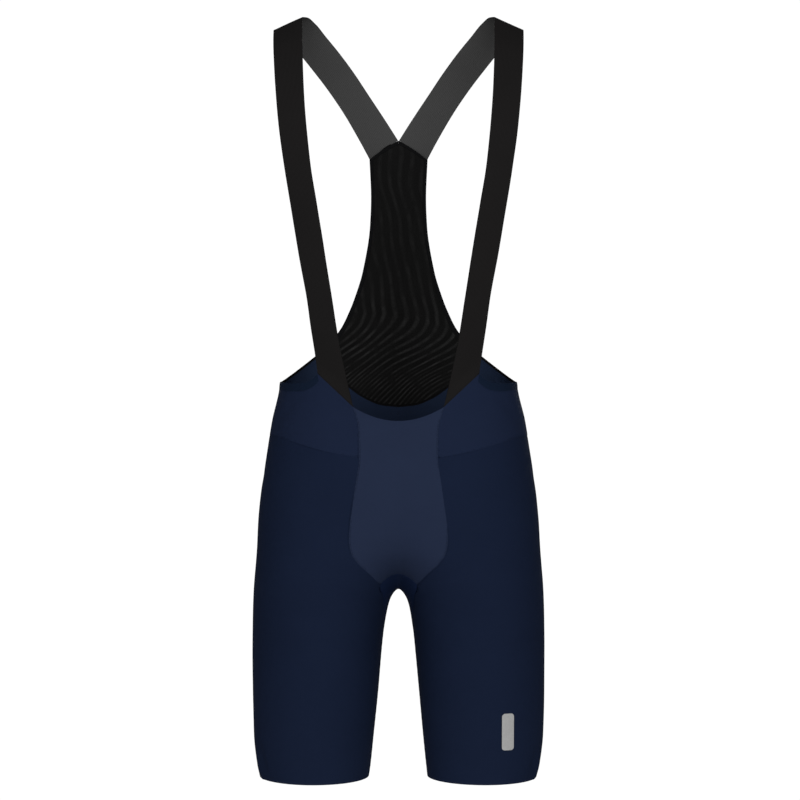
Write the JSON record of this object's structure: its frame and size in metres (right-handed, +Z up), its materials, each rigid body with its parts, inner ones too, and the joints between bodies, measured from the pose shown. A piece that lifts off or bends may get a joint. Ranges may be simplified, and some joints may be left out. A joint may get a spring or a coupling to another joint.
{
  "type": "cycling bib shorts",
  "caption": "Close-fitting bib shorts filled out as worn, hollow inside, with a mesh back panel and wide elastic shoulder straps.",
  "frame": {"origin": "midway between the tops of the shoulder straps, where the wearer's shoulders hold the garment", "axes": "+Z up along the body, the front faces -Y, +X is the wearer's left"},
  "size_m": [0.3492, 0.2312, 0.9108],
  "materials": {
    "leg_knit": "matt dark navy knit",
    "yoke_knit": "matt dark navy knit, a shade lighter",
    "front_knit": "smooth slate-navy knit",
    "gusset_knit": "matt deep navy knit",
    "mesh": "fine black mesh",
    "strap_elastic": "flat black elastic",
    "tape": "black edge tape",
    "reflective_film": "grey reflective film"
  },
  "bodies": {
    "root": {"armhole_binding_left": "tape", "armhole_binding_right": "tape", "back_binding_left": "tape", "back_binding_right": "tape", "crotch_gusset": "gusset_knit", "front_panel": "front_knit", "hip_yoke_left": "yoke_knit", "hip_yoke_right": "yoke_knit", "leg_left": "leg_knit", "leg_right": "leg_knit", "mesh_back": "mesh", "mesh_seam_band": "tape", "reflective_tab": "reflective_film", "strap_left": "strap_elastic", "strap_right": "strap_elastic", "waist_band_left": "leg_knit", "waist_band_right": "leg_knit"}
  },
  "joints": []
}
